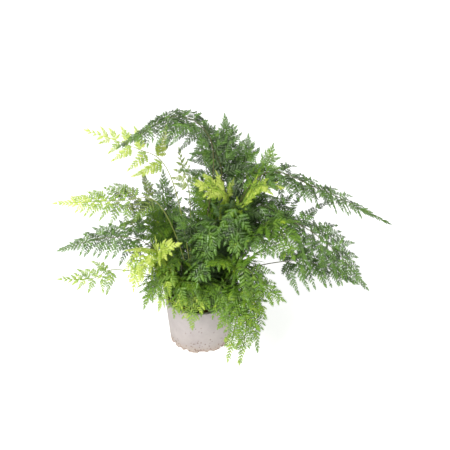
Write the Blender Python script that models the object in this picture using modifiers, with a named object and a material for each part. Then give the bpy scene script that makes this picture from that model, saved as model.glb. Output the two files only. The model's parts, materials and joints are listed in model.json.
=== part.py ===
"""Potted fern: a rabbit's-foot fern in a small stoneware pot.

Metres, +Z up.  The origin is the centre of the pot's flat underside, and the
plant's front faces -Y.  The pot, the soil, the rhizomes and every frond (a leaf
with its stem, grown as one piece) are separate closed solids.
"""
import math

import bmesh
import bpy
import numpy as np
from mathutils import Vector
from mathutils.bvhtree import BVHTree

MM = 0.001
CM = 0.01
GAP = 0.3 * MM

# Pot
RIM_RADIUS = 62.5 * MM
BASE_RADIUS = 55 * MM
POT_HEIGHT = 92 * MM
POT_WALL = 6 * MM
POT_FLOOR = 8 * MM
EDGE_ROUND = 1.5 * MM
POT_SIDES = 40
DRAIN_HOLES = 3
DRAIN_RADIUS = 6 * MM
DRAIN_CIRCLE = 28 * MM

# Soil
SOIL_TOP = 80 * MM
SOIL_CROWN = 79 * MM
SOIL_EDGE = 76 * MM

# Rhizomes: creeping stems that lie on the soil round the clump
RHIZOMES = {"rhizome_left": 200, "rhizome_right": 320, "rhizome_back": 80}
RHIZOME_CIRCLE = 41 * MM
RHIZOME_RADIUS = 3.6 * MM
RHIZOME_SWEEP = 95
RHIZOME_POINTS = 13

# Fronds
STEM_WIDTH = 2.0 * MM
LEAF_THICKNESS = 1.0 * MM
STEM_RINGS = (10 * MM, 22 * MM, 33 * MM)
RING_SHARES = (0.2, 0.5)
STEM_FOOT = SOIL_TOP + 0.4 * MM
STEM_UPRIGHT = 0.9
SPAN_SAMPLES = 28
LEAFY_FROM = 0.42
LONG_STALKED = ("crown_arching_left", "crown_left_dark", "upper_left_lime", "upper_left_young",
                "left_long_lime", "left_dark", "left_low_small", "far_right_arching",
                "right_broad", "right_low")
TAPER = (0.7, 0.05)
FRAME_REACH = 4 * MM
MIN_HEADING = 2 * CM
PINNA_ANGLE = 68
PINNA_SWEEP = 33
MOST_PINNAE = 11
FEWEST_PINNAE = 6
STATION_CROWDING = 0.92
SAMPLE_STEP = 1.8 * MM
FOOT_TURNS = (0, 5, -5, 10, -10, 16, -16, 24, -24, 34, -34)
FOOT_SHIFTS = (0, -4 * MM, 4 * MM)
STEM_PIECES = 6
PINNA_SPACING = 16 * MM
MIDRIB_CLEARANCE = 4 * MM
PINNA_CLEARANCE = 2.2 * MM
FLOOR_CLEARANCE = 5 * MM
PINNA_TILTS = (0, 14, -14, 28, -28)
PINNA_SCALES = (1, 0.85, 0.7, 0.55, 0.4, 0.28)

# name: way-points in cm where the blade starts, bends and ends, then the length of its
# longest pinna in cm, the blade's roll in degrees, how much its pinnae droop (0 to 1),
# and its age from 0 (dark, leathery) to 1 (fresh lime)
FRONDS = {
    "crown_arching_left": ((2, 4, 37.5), (-3, 5, 41), (-12.5, 2, 37), 5.8, 30, 0.5, 0.1),
    "crown_left_dark": ((4, 6, 29.5), (2.5, 6.5, 35), (1, 7, 39), 6.5, 75, 0.1, 0.1),
    "crown_top": ((5, 8, 28), (5, 11.5, 32), (4.5, 14, 37), 7, 0, 0.1, 0.1),
    "crown_top_right": ((7.5, 6, 27.5), (8, 9, 31), (8.5, 11, 34.5), 5.5, 0, 0.1, 0.15),
    "upper_left_lime": ((-6, 6, 32), (-11, 7, 34.5), (-18.5, 7, 37.5), 6, 50, 0.1, 0.95),
    "upper_left_young": ((-2, 9, 26), (-3, 10, 29), (-3.5, 11, 32), 2.6, 0, 0.1, 0.8),
    "far_right_arching": ((11, 3, 31.5), (19.5, 1, 30), (31.5, -2, 25), 5.2, -5, 0.2, 0.15),
    "top_right_small": ((10.5, 5, 30), (11.7, 5, 33), (12.4, 5, 35.5), 3.8, -20, 0.1, 0.3),
    "top_right_lime": ((9.5, 0, 30.5), (11.5, -0.5, 31), (13.5, -1, 31), 2.4, -20, 0.1, 0.8),
    "right_broad": ((14.5, -2, 25), (22, -3, 21), (28.5, -5, 14), 8, -35, 0.1, 0.15),
    "right_low": ((14, -4, 18.5), (20, -4, 18), (26.5, -5, 15), 5.5, -25, 0.3, 0.2),
    "right_upright": ((10, 2, 23), (13, 3, 25), (15.5, 4, 26.5), 4.6, -30, 0.1, 0.2),
    "right_middle": ((9.5, 1, 26.5), (13, 0, 26), (16.5, -1, 24), 5.5, -25, 0.2, 0.15),
    "right_vivid": ((11.5, -4, 26), (14, -7, 25.5), (15.5, -9, 22.5), 5, -20, 0.2, 0.3),
    "right_drooping": ((7.5, -8, 20), (10.5, -9, 17.5), (14, -10, 15), 5, -30, 0.2, 0.35),
    "left_long_lime": ((-7.5, 2, 27), (-12.5, 1, 27.5), (-23.5, 0, 27.5), 5.8, 45, 0.15, 0.6),
    "left_dark": ((-9.5, -3, 22), (-16, -4, 23), (-22.5, -5, 21.5), 4.4, 40, 0.2, 0.15),
    "left_low_small": ((-14.5, -5, 17.5), (-17.5, -6, 16.5), (-22.5, -7, 17), 3.2, 45, 0.1, 0.85),
    "left_lime_droop": ((-7, -6, 22), (-9.5, -8, 21.5), (-10.5, -9, 16.5), 4, 10, 0.2, 0.9),
    "left_lime_front": ((-6.5, -6.5, 21.5), (-5.5, -8, 23.5), (-3, -9, 25), 3.2, -50, 0.2, 0.9),
    "left_lime_low": ((-7, -4, 18.5), (-8.5, -6, 19.5), (-10.5, -7, 18), 3.8, 20, 0.2, 0.8),
    "left_inner": ((-6, 3, 18.5), (-7.5, 4, 21), (-9, 5, 24.5), 4, 20, 0.1, 0.45),
    "left_inner_tall": ((-5.5, 6, 20.5), (-6.5, 8, 24), (-6.5, 10, 28), 4.2, 10, 0.1, 0.2),
    "centre_lime": ((4.8, 1, 28.5), (2.5, 0, 30.5), (0, -1, 31.5), 4, 45, 0.1, 0.9),
    "centre_hanging": ((3.5, -2, 25), (2, -5, 25), (1.5, -7, 20.5), 5, 0, 0.3, 0.2),
    "centre_right_hanging": ((6, -1, 27.5), (6.5, -4, 25.5), (6.5, -7, 22), 5.2, 0, 0.3, 0.25),
    "centre_left_dark": ((0.5, -1, 21), (-1.5, -1, 23.5), (-3.5, -1, 25), 4, 40, 0.1, 0.15),
    "centre_front_dark": ((1.5, -4, 20), (1, -6.5, 20.5), (0, -9, 17.5), 4, 0, 0.3, 0.2),
    "centre_front_left": ((-3, -4, 19), (-4, -6, 20.5), (-6, -8, 19), 4.2, 0, 0.3, 0.35),
    "centre_front_right": ((6.5, -4, 18.5), (8.5, -6, 19), (11, -8, 17), 4.2, 0, 0.3, 0.3),
    "centre_back_tall": ((2, 4, 23), (1, 6, 26), (-1, 8, 29), 4.5, 0, 0.1, 0.3),
    "centre_right_low": ((8.5, -3, 23.5), (10.5, -6, 24), (12, -8, 22.5), 4.4, 0, 0.3, 0.25),
    "rim_left_mid": ((-5.5, -6, 18), (-6.5, -8, 17.5), (-8, -9, 15), 3.4, 10, 0.2, 0.4),
    "rim_left_lime": ((-4.5, -7, 18.5), (-5.5, -9, 17), (-6.5, -9, 12.5), 3.2, 0, 0.2, 0.6),
    "rim_left_low": ((-6, -4, 15.5), (-7.5, -6, 15.5), (-9, -7.5, 12), 3.2, 10, 0.2, 0.45),
    "rim_right_low": ((7, -3, 15), (9, -4.5, 15.5), (12, -6, 12.5), 3.4, 0, 0.2, 0.35),
    "rim_front_left": ((-2.5, -7.5, 17), (-3.5, -9, 15.5), (-4, -9.5, 11.5), 3.2, 0, 0.2, 0.55),
    "front_left": ((-0.5, -6, 16.5), (-1.5, -8, 16.5), (-3, -9, 12.5), 3.8, 0, 0.2, 0.3),
    "front_centre": ((1, -6, 15.5), (0.5, -8, 15.5), (0.5, -9, 11.5), 3.6, 0, 0.2, 0.4),
    "front_centre_drip": ((-0.5, -8, 15), (-1, -9.5, 13), (-1, -9.5, 9), 2.4, 0, 0.2, 0.6),
    "front_right": ((4, -6, 15.5), (3.5, -8, 15), (2.5, -9, 11), 3.8, 0, 0.2, 0.3),
    "front_right_up": ((5.5, -4, 18.5), (4, -7, 20.5), (2, -9, 21), 3.8, 0, 0.3, 0.45),
    "cascade_long": ((7, -8, 16.5), (8, -11, 11), (7, -12, 3.5), 3.8, 0, 0.1, 0.5),
    "cascade_middle": ((7, -9, 14.5), (6, -12, 10.5), (5, -13, 5), 3.2, 0, 0.1, 0.55),
    "cascade_left": ((5.5, -8, 15.5), (5, -9.5, 13), (3.5, -10.5, 10), 3.2, 0, 0.1, 0.5),
    "cascade_dark": ((8.5, -8, 14), (9.5, -10, 10.5), (10, -11, 5.5), 2.8, 0, 0.1, 0.3),
    "cascade_right": ((8, -7.5, 14.5), (9.5, -9.5, 14), (11, -11, 12.5), 3, 0, 0.1, 0.5),
    "back_left_tall": ((-4, 8, 19), (-8, 14, 20), (-13, 20, 17), 5, 0, 0.2, 0.2),
    "back_centre": ((1, 10, 23), (2, 16, 23), (4, 22, 19), 5, 0, 0.2, 0.15),
    "back_right": ((6, 9, 21), (10, 14, 22), (16, 19, 18), 5, 0, 0.2, 0.25),
    "back_low_left": ((-4, 8, 16.5), (-6, 12, 17), (-8.5, 17, 12), 3.6, 0, 0.2, 0.5),
    "back_low_right": ((3.5, 8, 16), (6, 12.5, 16), (8.5, 17, 11), 3.6, 0, 0.2, 0.4),
    "back_rim": ((0, 7.5, 15), (-0.5, 10.5, 13.5), (-1, 12, 8), 3, 0, 0.2, 0.8),
    "right_back": ((9, 5, 20), (15, 8, 20), (22, 10, 17), 4.5, 0, 0.2, 0.25),
    "left_back": ((-8, 6, 19), (-12.5, 10, 18.5), (-16, 15, 14), 4, 0, 0.2, 0.45),
}

# Colours, linear RGB, and roughness
STONEWARE = ((0.56, 0.50, 0.47), 0.85)
SOIL = ((0.035, 0.022, 0.014), 0.95)
RHIZOME_BROWN = ((0.20, 0.11, 0.05), 0.8)
MATURE_GREEN = (0.035, 0.105, 0.030)
YOUNG_LIME = (0.33, 0.50, 0.06)
LEAF_ROUGHNESS = 0.45


def clear_scene():
    for old in list(bpy.data.objects):
        bpy.data.objects.remove(old, do_unlink=True)


def new_collection(name):
    collection = bpy.data.collections.new(name)
    bpy.context.scene.collection.children.link(collection)
    return collection


def new_material(name, colour, roughness):
    material = bpy.data.materials.new(name)
    material.use_nodes = True
    shader = material.node_tree.nodes["Principled BSDF"]
    shader.inputs["Base Color"].default_value = (*colour, 1)
    shader.inputs["Roughness"].default_value = roughness
    shader.inputs["Metallic"].default_value = 0
    return material


def new_object(name, data, collection, material=None):
    thing = bpy.data.objects.new(name, data)
    if material:
        data.materials.append(material)
    collection.objects.link(thing)
    return thing


def unit(vector):
    return vector / np.linalg.norm(vector, axis=-1, keepdims=True)


# ---- pot and soil: profiles turned round Z ----

def quarter_round(centre, radius, start_angle, steps=3):
    """Points of a quarter circle in the XZ plane, turning clockwise from start_angle."""
    points = []
    for step in range(steps + 1):
        angle = math.radians(start_angle - 90 * step / steps)
        points.append((centre[0] + radius * math.cos(angle), centre[1] + radius * math.sin(angle)))
    return points


def turned(name, profile, collection, material, sides=POT_SIDES):
    """Turns a profile, listed clockwise from the axis at the top, into a closed solid."""
    mesh = bpy.data.meshes.new(name)
    sheet = bmesh.new()
    corners = [sheet.verts.new((x, 0, z)) for x, z in profile]
    for upper, lower in zip(corners[:-1], corners[1:]):
        sheet.edges.new((upper, lower))
    sheet.to_mesh(mesh)
    sheet.free()
    thing = new_object(name, mesh, collection, material)
    screw = thing.modifiers.new("turn", "SCREW")
    screw.axis = "Z"
    screw.steps = sides
    screw.render_steps = sides
    screw.use_merge_vertices = True
    screw.merge_threshold = 0.00001
    screw.use_smooth_shade = True
    return thing


def outer_radius(height):
    """Radius of the pot's outside at a height above its underside."""
    return BASE_RADIUS + (RIM_RADIUS - BASE_RADIUS) * height / POT_HEIGHT


def add_pot(collection, cutters):
    inner_rim = RIM_RADIUS - POT_WALL
    inner_floor = outer_radius(POT_FLOOR) - POT_WALL
    profile = [(0, POT_FLOOR), (inner_floor, POT_FLOOR)]
    profile += quarter_round((inner_rim + EDGE_ROUND, POT_HEIGHT - EDGE_ROUND), EDGE_ROUND, 180)
    profile += quarter_round((RIM_RADIUS - EDGE_ROUND, POT_HEIGHT - EDGE_ROUND), EDGE_ROUND, 90)
    profile += quarter_round((BASE_RADIUS - EDGE_ROUND, EDGE_ROUND), EDGE_ROUND, 0)
    profile += [(0, 0)]
    pot = turned("pot", profile, collection, new_material("stoneware", *STONEWARE))
    for index in range(DRAIN_HOLES):
        angle = 2 * math.pi * (index + 0.5) / DRAIN_HOLES
        place = (DRAIN_CIRCLE * math.cos(angle), DRAIN_CIRCLE * math.sin(angle), POT_FLOOR / 2)
        bpy.ops.mesh.primitive_cylinder_add(vertices=16, radius=DRAIN_RADIUS,
                                            depth=POT_FLOOR * 3, location=place)
        cutter = bpy.context.object
        cutter.name = f"drain_cutter_{index + 1}"
        cutter.hide_render = True
        cutter.display_type = "WIRE"
        for owner in list(cutter.users_collection):
            owner.objects.unlink(cutter)
        cutters.objects.link(cutter)
        cut = pot.modifiers.new(f"drain_{index + 1}", "BOOLEAN")
        cut.operation = "DIFFERENCE"
        cut.solver = "EXACT"
        cut.object = cutter
    return pot


def add_soil(collection):
    """Fills the pot to just below its rim, a little higher in the middle."""
    wall_gap = POT_WALL + 2 * GAP
    bottom = POT_FLOOR + GAP
    profile = [
        (0, SOIL_CROWN),
        (0.6 * RIM_RADIUS, SOIL_CROWN - MM),
        (outer_radius(SOIL_EDGE) - wall_gap, SOIL_EDGE),
        (outer_radius(bottom) - wall_gap, bottom),
        (0, bottom),
    ]
    return turned("soil", profile, collection, new_material("potting_soil", *SOIL))


# ---- rhizomes ----

def rhizome_points(middle_degrees):
    """A creeping stem's middle line: an arc on the soil that wanders in and out a little."""
    points = []
    for step in range(RHIZOME_POINTS):
        share = step / (RHIZOME_POINTS - 1)
        angle = math.radians(middle_degrees + RHIZOME_SWEEP * (share - 0.5))
        circle = RHIZOME_CIRCLE + 1.2 * MM * math.sin(2 * math.pi * share)
        points.append((circle * math.cos(angle), circle * math.sin(angle),
                       SOIL_TOP + RHIZOME_RADIUS - 0.5 * MM))
    return points


def add_rhizome(name, middle_degrees, collection, material):
    curve = bpy.data.curves.new(name, "CURVE")
    curve.dimensions = "3D"
    curve.bevel_depth = RHIZOME_RADIUS
    curve.bevel_resolution = 2
    curve.use_fill_caps = True
    points = rhizome_points(middle_degrees)
    line = curve.splines.new("POLY")
    line.points.add(len(points) - 1)
    for step, (slot, place) in enumerate(zip(line.points, points)):
        slot.co = (*place, 1)
        slot.radius = 1 - 0.45 * (step / (len(points) - 1)) ** 3
    return new_object(name, curve, collection, material)


# ---- fronds ----

def smooth_path(points):
    """Centripetal Catmull-Rom curve through the points, which leaves the soil upright."""
    points = np.array(points, float)
    rise = STEM_UPRIGHT * np.linalg.norm(points[1] - points[0])
    before = points[0] - (0, 0, rise)
    after = 2 * points[-1] - points[-2]
    points = np.vstack([before, points, after])
    knots = np.linalg.norm(np.diff(points, axis=0), axis=1) ** 0.5
    steps = np.diff(points, axis=0) / knots[:, None]
    t = np.linspace(0, 1, SPAN_SAMPLES, endpoint=False)[:, None]
    spans = []
    for index in range(1, len(points) - 2):
        before_knot, knot, after_knot = knots[index - 1:index + 2]
        start, end = points[index], points[index + 1]
        leave = knot * (steps[index - 1] + steps[index]
                        - (end - points[index - 1]) / (before_knot + knot))
        arrive = knot * (steps[index] + steps[index + 1]
                         - (points[index + 2] - start) / (knot + after_knot))
        spans.append((2 * t ** 3 - 3 * t ** 2 + 1) * start + (t ** 3 - 2 * t ** 2 + t) * leave
                     + (3 * t ** 2 - 2 * t ** 3) * end + (t ** 3 - t ** 2) * arrive)
    spans.append(points[-2][None])
    return np.vstack(spans)


class Frond:
    """The middle line of one frond, and the places of its pinnae."""

    def __init__(self, name, foot):
        shoulder, bend, tip, width, roll, droop, age = FRONDS[name]
        points = [np.array(place) * CM for place in (shoulder, bend, tip)]
        self.name = name
        self.width = width * CM
        self.roll = math.radians(roll)
        self.droop = droop
        self.age = age
        self.path = smooth_path([foot, *points])
        steps = np.linalg.norm(np.diff(self.path, axis=0), axis=1)
        self.travel = np.concatenate([[0], np.cumsum(steps)])
        self.shoulder = self.travel[SPAN_SAMPLES]
        self.start = self.shoulder * (1 if name in LONG_STALKED else LEAFY_FROM)
        self.taper = TAPER[0] + TAPER[1] * width
        self.length = self.travel[-1]
        heading = points[2] - points[0]
        if math.hypot(heading[0], heading[1]) < MIN_HEADING:
            heading = points[0]
        self.across = unit(np.cross((heading[0], heading[1], 0), (0, 0, 1)))

    def at(self, distance):
        return np.array([np.interp(distance, self.travel, self.path[:, axis]) for axis in range(3)])

    def frame(self, distance):
        """Point, direction, right-hand side and face normal of the blade at a distance."""
        ahead = self.at(min(distance + FRAME_REACH, self.length))
        along = unit(ahead - self.at(max(distance - FRAME_REACH, 0)))
        side = unit(self.across - np.dot(self.across, along) * along)
        face = np.cross(side, along)
        rolled = side * math.cos(self.roll) + face * math.sin(self.roll)
        return self.at(distance), along, rolled, np.cross(rolled, along)

    def stations(self):
        """Distances at which the blade's pinnae meet: closer together towards the tip."""
        blade = self.length - self.start
        count = max(FEWEST_PINNAE, min(MOST_PINNAE, round(blade / PINNA_SPACING) + 1))
        return self.start + blade * np.linspace(0, 1, count + 1) ** STATION_CROWDING

    def reach(self, distance):
        """Length of the pinnae: shorter below the shoulder, and tapering from it to the tip."""
        above = max(0, (distance - self.shoulder) / (self.length - self.shoulder))
        below = max(0, 1 - distance / self.shoulder)
        return self.width * (1 - above) ** self.taper * (1 - below)

    def pinna_tip(self, low, high, side_sign, scale, tilt_degrees):
        """Tip of the pinna whose foot runs from low to high along the middle line."""
        share = (low - self.start) / (self.length - self.start)
        reach = self.reach(low) * scale
        angle = math.radians(PINNA_ANGLE - PINNA_SWEEP * share)
        tilt = math.radians(tilt_degrees)
        middle, along, side, face = self.frame((low + high) / 2)
        out = side_sign * math.cos(tilt) * side + math.sin(tilt) * face
        direction = math.cos(angle) * along + math.sin(angle) * out
        return middle + reach * (direction - np.array((0, 0, self.droop)))


def ring_feet():
    """Where each stem stands: tall fronds in the middle, low ones round the outside."""
    shoulders = {name: np.array(row[0]) for name, row in FRONDS.items()}
    order = sorted(FRONDS, key=lambda name: (-shoulders[name][2], name))
    first = round(len(order) * RING_SHARES[0])
    second = round(len(order) * RING_SHARES[1])
    feet = {}
    for radius, names in zip(STEM_RINGS, (order[:first], order[first:second], order[second:])):
        bearings = {name: math.atan2(shoulders[name][1], shoulders[name][0]) for name in names}
        names = sorted(names, key=lambda name: (bearings[name], name))
        slots = np.arange(len(names)) * 2 * math.pi / len(names)
        wanted = np.array([bearings[name] for name in names])
        turn = np.angle(np.mean(np.exp(1j * (wanted - slots))))
        for name, angle in zip(names, slots + turn):
            feet[name] = (radius, angle)
    return feet


def clear_of_pot(point):
    """True where a leaf at the point would miss the pot, the soil, the rhizomes and the floor."""
    if point[2] < FLOOR_CLEARANCE:
        return False
    radius = math.hypot(point[0], point[1])
    if point[2] > POT_HEIGHT + PINNA_CLEARANCE:
        return True
    if radius > outer_radius(point[2]) + PINNA_CLEARANCE:
        return True
    inside = radius < outer_radius(point[2]) - POT_WALL - PINNA_CLEARANCE
    return inside and point[2] > SOIL_TOP + 2 * RHIZOME_RADIUS + PINNA_CLEARANCE


def foot_choices(radius, angle):
    """Places on and beside a stem's ring, the nearest to its own first."""
    for turn in FOOT_TURNS:
        for shift in FOOT_SHIFTS:
            bearing = angle + math.radians(turn)
            reach = radius + shift
            yield reach * math.cos(bearing), reach * math.sin(bearing), STEM_FOOT


def distance_between(points, others):
    """Smallest distance from any of the points to any of the others."""
    return np.sqrt(((points[:, None] - others[None]) ** 2).sum(-1)).min()


def stand_fronds():
    """Places every stem, moved about its ring until its line clears those already there."""
    fronds = []
    rhizomes = np.vstack([rhizome_points(angle) for angle in RHIZOMES.values()])
    taken = []
    for name, (radius, angle) in ring_feet().items():
        best = None
        for foot in foot_choices(radius, angle):
            frond = Frond(name, foot)
            samples = np.array([frond.at(d) for d in np.arange(0, frond.length, 2 * MM)])
            nearest = min([distance_between(samples, rhizomes) - RHIZOME_RADIUS]
                          + [distance_between(samples, other) for other in taken])
            if best is None or nearest > best[0]:
                best = (nearest, frond, samples)
            if nearest > MIDRIB_CLEARANCE:
                break
        fronds.append(best[1])
        taken.append(best[2])
    return fronds


def midrib_rows(frond):
    """Left and right edge of the stem and midrib at each of its stations."""
    distances = list(np.linspace(0, frond.start, STEM_PIECES, endpoint=False))
    distances += list(frond.stations())
    rows = []
    for distance in distances:
        middle, along, side, face = frond.frame(distance)
        taper = 1 - 0.6 * max(0, (distance - frond.start) / (frond.length - frond.start))
        half = STEM_WIDTH / 2 * taper
        rows.append((middle - side * half, middle + side * half))
    return rows


def samples_of(corners):
    """Points spread over a triangle, less than the clearance apart."""
    first, second, tip = corners
    steps = max(2, math.ceil(np.linalg.norm(tip - first) / SAMPLE_STEP))
    points = []
    for step in range(1, steps + 1):
        share = step / steps
        left = first + (tip - first) * share
        right = second + (tip - second) * share
        cross = max(1, math.ceil(np.linalg.norm(right - left) / SAMPLE_STEP))
        for place in range(cross + 1):
            points.append(left + (right - left) * place / cross)
    return points


def fitted_pinna(frond, low, high, side_sign, low_edge, high_edge, tree):
    """The largest, flattest pinna there that touches nothing in the tree, or None."""
    for scale in PINNA_SCALES:
        for tilt in PINNA_TILTS:
            tip = frond.pinna_tip(low, high, side_sign, scale, tilt)
            corners = (low_edge, high_edge, tip)
            free = True
            for point in samples_of(corners):
                if not clear_of_pot(point):
                    free = False
                    break
                if tree.find_nearest(Vector(point), PINNA_CLEARANCE)[0] is not None:
                    free = False
                    break
            if free:
                return corners
    return None


def grow_pinnae(fronds):
    """Gives each frond its pinnae in turn: one that would touch another frond tilts or shortens."""
    rows = {frond.name: midrib_rows(frond) for frond in fronds}
    solid = {}
    for frond in fronds:
        edges = rows[frond.name]
        solid[frond.name] = [(a[0], a[1], b[1], b[0]) for a, b in zip(edges[:-1], edges[1:])]
    pinnae = {frond.name: [] for frond in fronds}
    most = max(len(frond.stations()) for frond in fronds) - 2
    for number in range(most):
        for frond in fronds:
            stations = frond.stations()
            if number >= len(stations) - 2:
                continue
            others = [corners for name, faces in solid.items() if name != frond.name
                      for corners in faces]
            points = [Vector(corner) for corners in others for corner in corners]
            faces = []
            used = 0
            for corners in others:
                faces.append(tuple(range(used, used + len(corners))))
                used += len(corners)
            tree = BVHTree.FromPolygons(points, faces)
            low, high = rows[frond.name][STEM_PIECES + number:STEM_PIECES + number + 2]
            for side_index, side_sign in ((0, -1), (1, 1)):
                corners = fitted_pinna(frond, stations[number], stations[number + 1], side_sign,
                                       low[side_index], high[side_index], tree)
                if corners is not None:
                    pinnae[frond.name].append((number, side_index, corners[2]))
                    solid[frond.name].append(corners)
    return rows, pinnae


def add_frond(frond, rows, pinnae, collection):
    """A sheet of stem, midrib and pinnae along the frond's line, thickened into a solid."""
    name = f"frond_{frond.name}"
    sheet = bmesh.new()
    edges = [(sheet.verts.new(left), sheet.verts.new(right)) for left, right in rows]
    for lower, upper in zip(edges[:-1], edges[1:]):
        sheet.faces.new((lower[0], lower[1], upper[1], upper[0]))
    for number, side, tip in pinnae:
        low = edges[STEM_PIECES + number][side]
        high = edges[STEM_PIECES + number + 1][side]
        point = sheet.verts.new(tip)
        sheet.faces.new((high, point, low) if side else (low, point, high))
    bmesh.ops.recalc_face_normals(sheet, faces=sheet.faces)
    mesh = bpy.data.meshes.new(name)
    sheet.to_mesh(mesh)
    sheet.free()
    green = tuple(dark + (lime - dark) * frond.age for dark, lime in zip(MATURE_GREEN, YOUNG_LIME))
    thing = new_object(name, mesh, collection, new_material(f"{name}_green", green, LEAF_ROUGHNESS))
    solidify = thing.modifiers.new("thickness", "SOLIDIFY")
    solidify.thickness = LEAF_THICKNESS
    solidify.offset = 0
    return thing


def main():
    clear_scene()
    parts = new_collection("potted_fern")
    cutters = new_collection("cutters")
    add_pot(parts, cutters)
    add_soil(parts)
    brown = new_material("rhizome_brown", *RHIZOME_BROWN)
    for name, angle in RHIZOMES.items():
        add_rhizome(name, angle, parts, brown)
    fronds = stand_fronds()
    rows, pinnae = grow_pinnae(fronds)
    for frond in fronds:
        add_frond(frond, rows[frond.name], pinnae[frond.name], parts)


main()
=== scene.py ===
"""Potted rabbit's-foot fern: the finish of the pot, soil, rhizomes and every lacy frond."""
import json
import math

import bmesh
import bpy
import numpy as np
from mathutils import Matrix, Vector, noise

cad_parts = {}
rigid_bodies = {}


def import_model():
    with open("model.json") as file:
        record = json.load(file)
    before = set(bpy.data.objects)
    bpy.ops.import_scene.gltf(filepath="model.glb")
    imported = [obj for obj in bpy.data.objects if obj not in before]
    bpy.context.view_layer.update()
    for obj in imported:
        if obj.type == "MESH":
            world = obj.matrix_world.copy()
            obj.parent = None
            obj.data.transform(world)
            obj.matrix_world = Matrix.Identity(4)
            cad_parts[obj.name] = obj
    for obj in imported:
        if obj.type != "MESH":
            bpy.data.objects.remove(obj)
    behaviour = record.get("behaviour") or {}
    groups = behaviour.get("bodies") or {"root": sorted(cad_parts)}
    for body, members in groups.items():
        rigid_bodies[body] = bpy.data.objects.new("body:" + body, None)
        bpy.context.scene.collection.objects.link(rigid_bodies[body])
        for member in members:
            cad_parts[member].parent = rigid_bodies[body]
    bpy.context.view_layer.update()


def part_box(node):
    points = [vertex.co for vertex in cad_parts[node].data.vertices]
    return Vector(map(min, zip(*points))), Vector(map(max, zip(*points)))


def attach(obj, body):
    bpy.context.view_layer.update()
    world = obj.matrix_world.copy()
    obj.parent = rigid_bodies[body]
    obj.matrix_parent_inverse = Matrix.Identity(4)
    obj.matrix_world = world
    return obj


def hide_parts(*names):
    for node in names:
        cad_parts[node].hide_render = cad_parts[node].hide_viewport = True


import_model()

MM = 0.001
CM = 0.01

# ---- camera, light and floor ----
CAMERA_TARGET = (0.045, 0, 0.233)
CAMERA_DISTANCE = 1.30
CAMERA_ELEVATION = 30
CAMERA_LENS = 61.36
SENSOR_WIDTH = 36
FLOOR_SIZE = 60
FLOOR_GLOW = 0.52
ROOM_LIGHT = 0.53
LIGHT_TARGET = (0.03, 0, 0.2)
# where each softbox stands and how wide it is, in metres, and its power in watts
SOFTBOXES = {"key": ((-1.0, -1.4, 2.0), 1.0, 55), "fill": ((1.8, -0.8, 1.0), 1.6, 8)}

# ---- pot, all from the CAD pot's own box ----
POT_LOW, POT_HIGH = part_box("pot")
POT_HEIGHT = POT_HIGH[2]
RIM_RADIUS = (POT_HIGH[0] - POT_LOW[0]) / 2
BASE_RADIUS = RIM_RADIUS - 7.5 * MM
POT_WALL = 6 * MM
POT_FLOOR = 8 * MM
RIM_ROUND = 2.2 * MM
POT_COLUMNS = 384
# rings of the pot's mesh under it and on its floor, in mm, and rows up its wall, finer low down
UNDERSIDE_RINGS = (16, 24, 32, 38, 42, 45)
FLOOR_RINGS = (40, 30, 20, 10)
LOW_ROWS, HIGH_ROWS, RIM_ROWS, INNER_ROWS = 33, 30, 13, 14
FINE_HEIGHT = 30 * MM
FOOT_EDGE = ((1.2 * MM, 0), (0.3 * MM, 0.5 * MM))
WALL_WOBBLE = 0.18 * MM
# pits: the share that crowd near the foot and how far up they spread, the height that the
# others reach and the height that none passes, and their radii in mm
PITS = 330
LOW_PITS = 0.8
LOW_PIT_SPREAD = 9 * MM
HIGHEST_PITS = (60 * MM, 80 * MM)
PIT_RADII = (0.7, 1.5)
# chips: where the front one is round the foot, half its width, its height and its depth, and
# the ranges of the same sizes in mm for the others
CHIPS = 24
FRONT_CHIP = (-0.5 * math.pi, 4 * MM, 8 * MM, 5.2 * MM)
CHIP_SIZES = ((3, 6.5), (4, 8), (3.5, 7.5))
CHIP_TINT = 0.3
DRAIN_HOLES = 3
DRAIN_RADIUS = 6 * MM
DRAIN_CIRCLE = 28 * MM
DRAIN_SIDES = 40
SHARP_EDGE = 50

# ---- soil ----
SOIL_TOP = 79 * MM
SOIL_EDGE = 76 * MM
SOIL_GAP = 0.6 * MM
SOIL_RINGS, SOIL_COLUMNS = 46, 120
SOIL_CENTRE = 0.4 * MM
SOIL_LUMP = 6 * MM
SOIL_UNEVEN = 0.8 * MM
CRUMB_SHAPES = 4
CRUMB_SIZES = (1.0 * MM, 3.2 * MM)
CRUMBS_PER_SQUARE_METRE = 180000.0

# ---- rhizomes, on the CAD's own lines but slimmer, as their scales thicken them ----
RHIZOMES = {"rhizome_left": 200, "rhizome_right": 320, "rhizome_back": 80}
RHIZOME_CIRCLE = 41 * MM
RHIZOME_RADIUS = 3.0 * MM
RHIZOME_POINTS = 25
RHIZOME_SWEEP = 95
RHIZOME_HEIGHT = 83.1 * MM
RHIZOME_SIDES = 16
SCALE_RINGS, SCALES_ROUND = 58, 10
# lengths in mm
SCALE_LENGTHS = (2.2, 3.6)

# ---- fronds ----
STEM_FOOT = 80.4 * MM
FEET_WITHIN = 45 * MM
STEM_UPRIGHT = 0.9
SPAN_SAMPLES = 28
LEAFY_FROM = 0.42
LONG_STALKED = ("crown_arching_left", "crown_left_dark", "upper_left_lime", "upper_left_young",
                "left_long_lime", "left_dark", "left_low_small", "far_right_arching",
                "right_broad", "right_low")
# how sharply a blade tapers, and how much more so for each cm of its width
TAPER = (0.7, 0.05)
MIN_HEADING = 2 * CM
FRAME_REACH = 4 * MM
STEM_STEPS, BLADE_STEPS = 26, 34
STEM_GIRTH = (1.1 * MM, 0.85 * MM, 0.3 * MM)
RIB_GIRTH = (0.34 * MM, 0.13 * MM)
RIB_SIDES = 5
# small pinnae that fill the clump's heart, below the blades proper; everything below the shoulder
# is darkened as painted shade
HEART_FROM = 0.16
HEART_REACH = 17 * MM
# painted shade: how much darker a blade is made down in the clump
HEART_PAINTED_SHADE = 0.65
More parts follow.
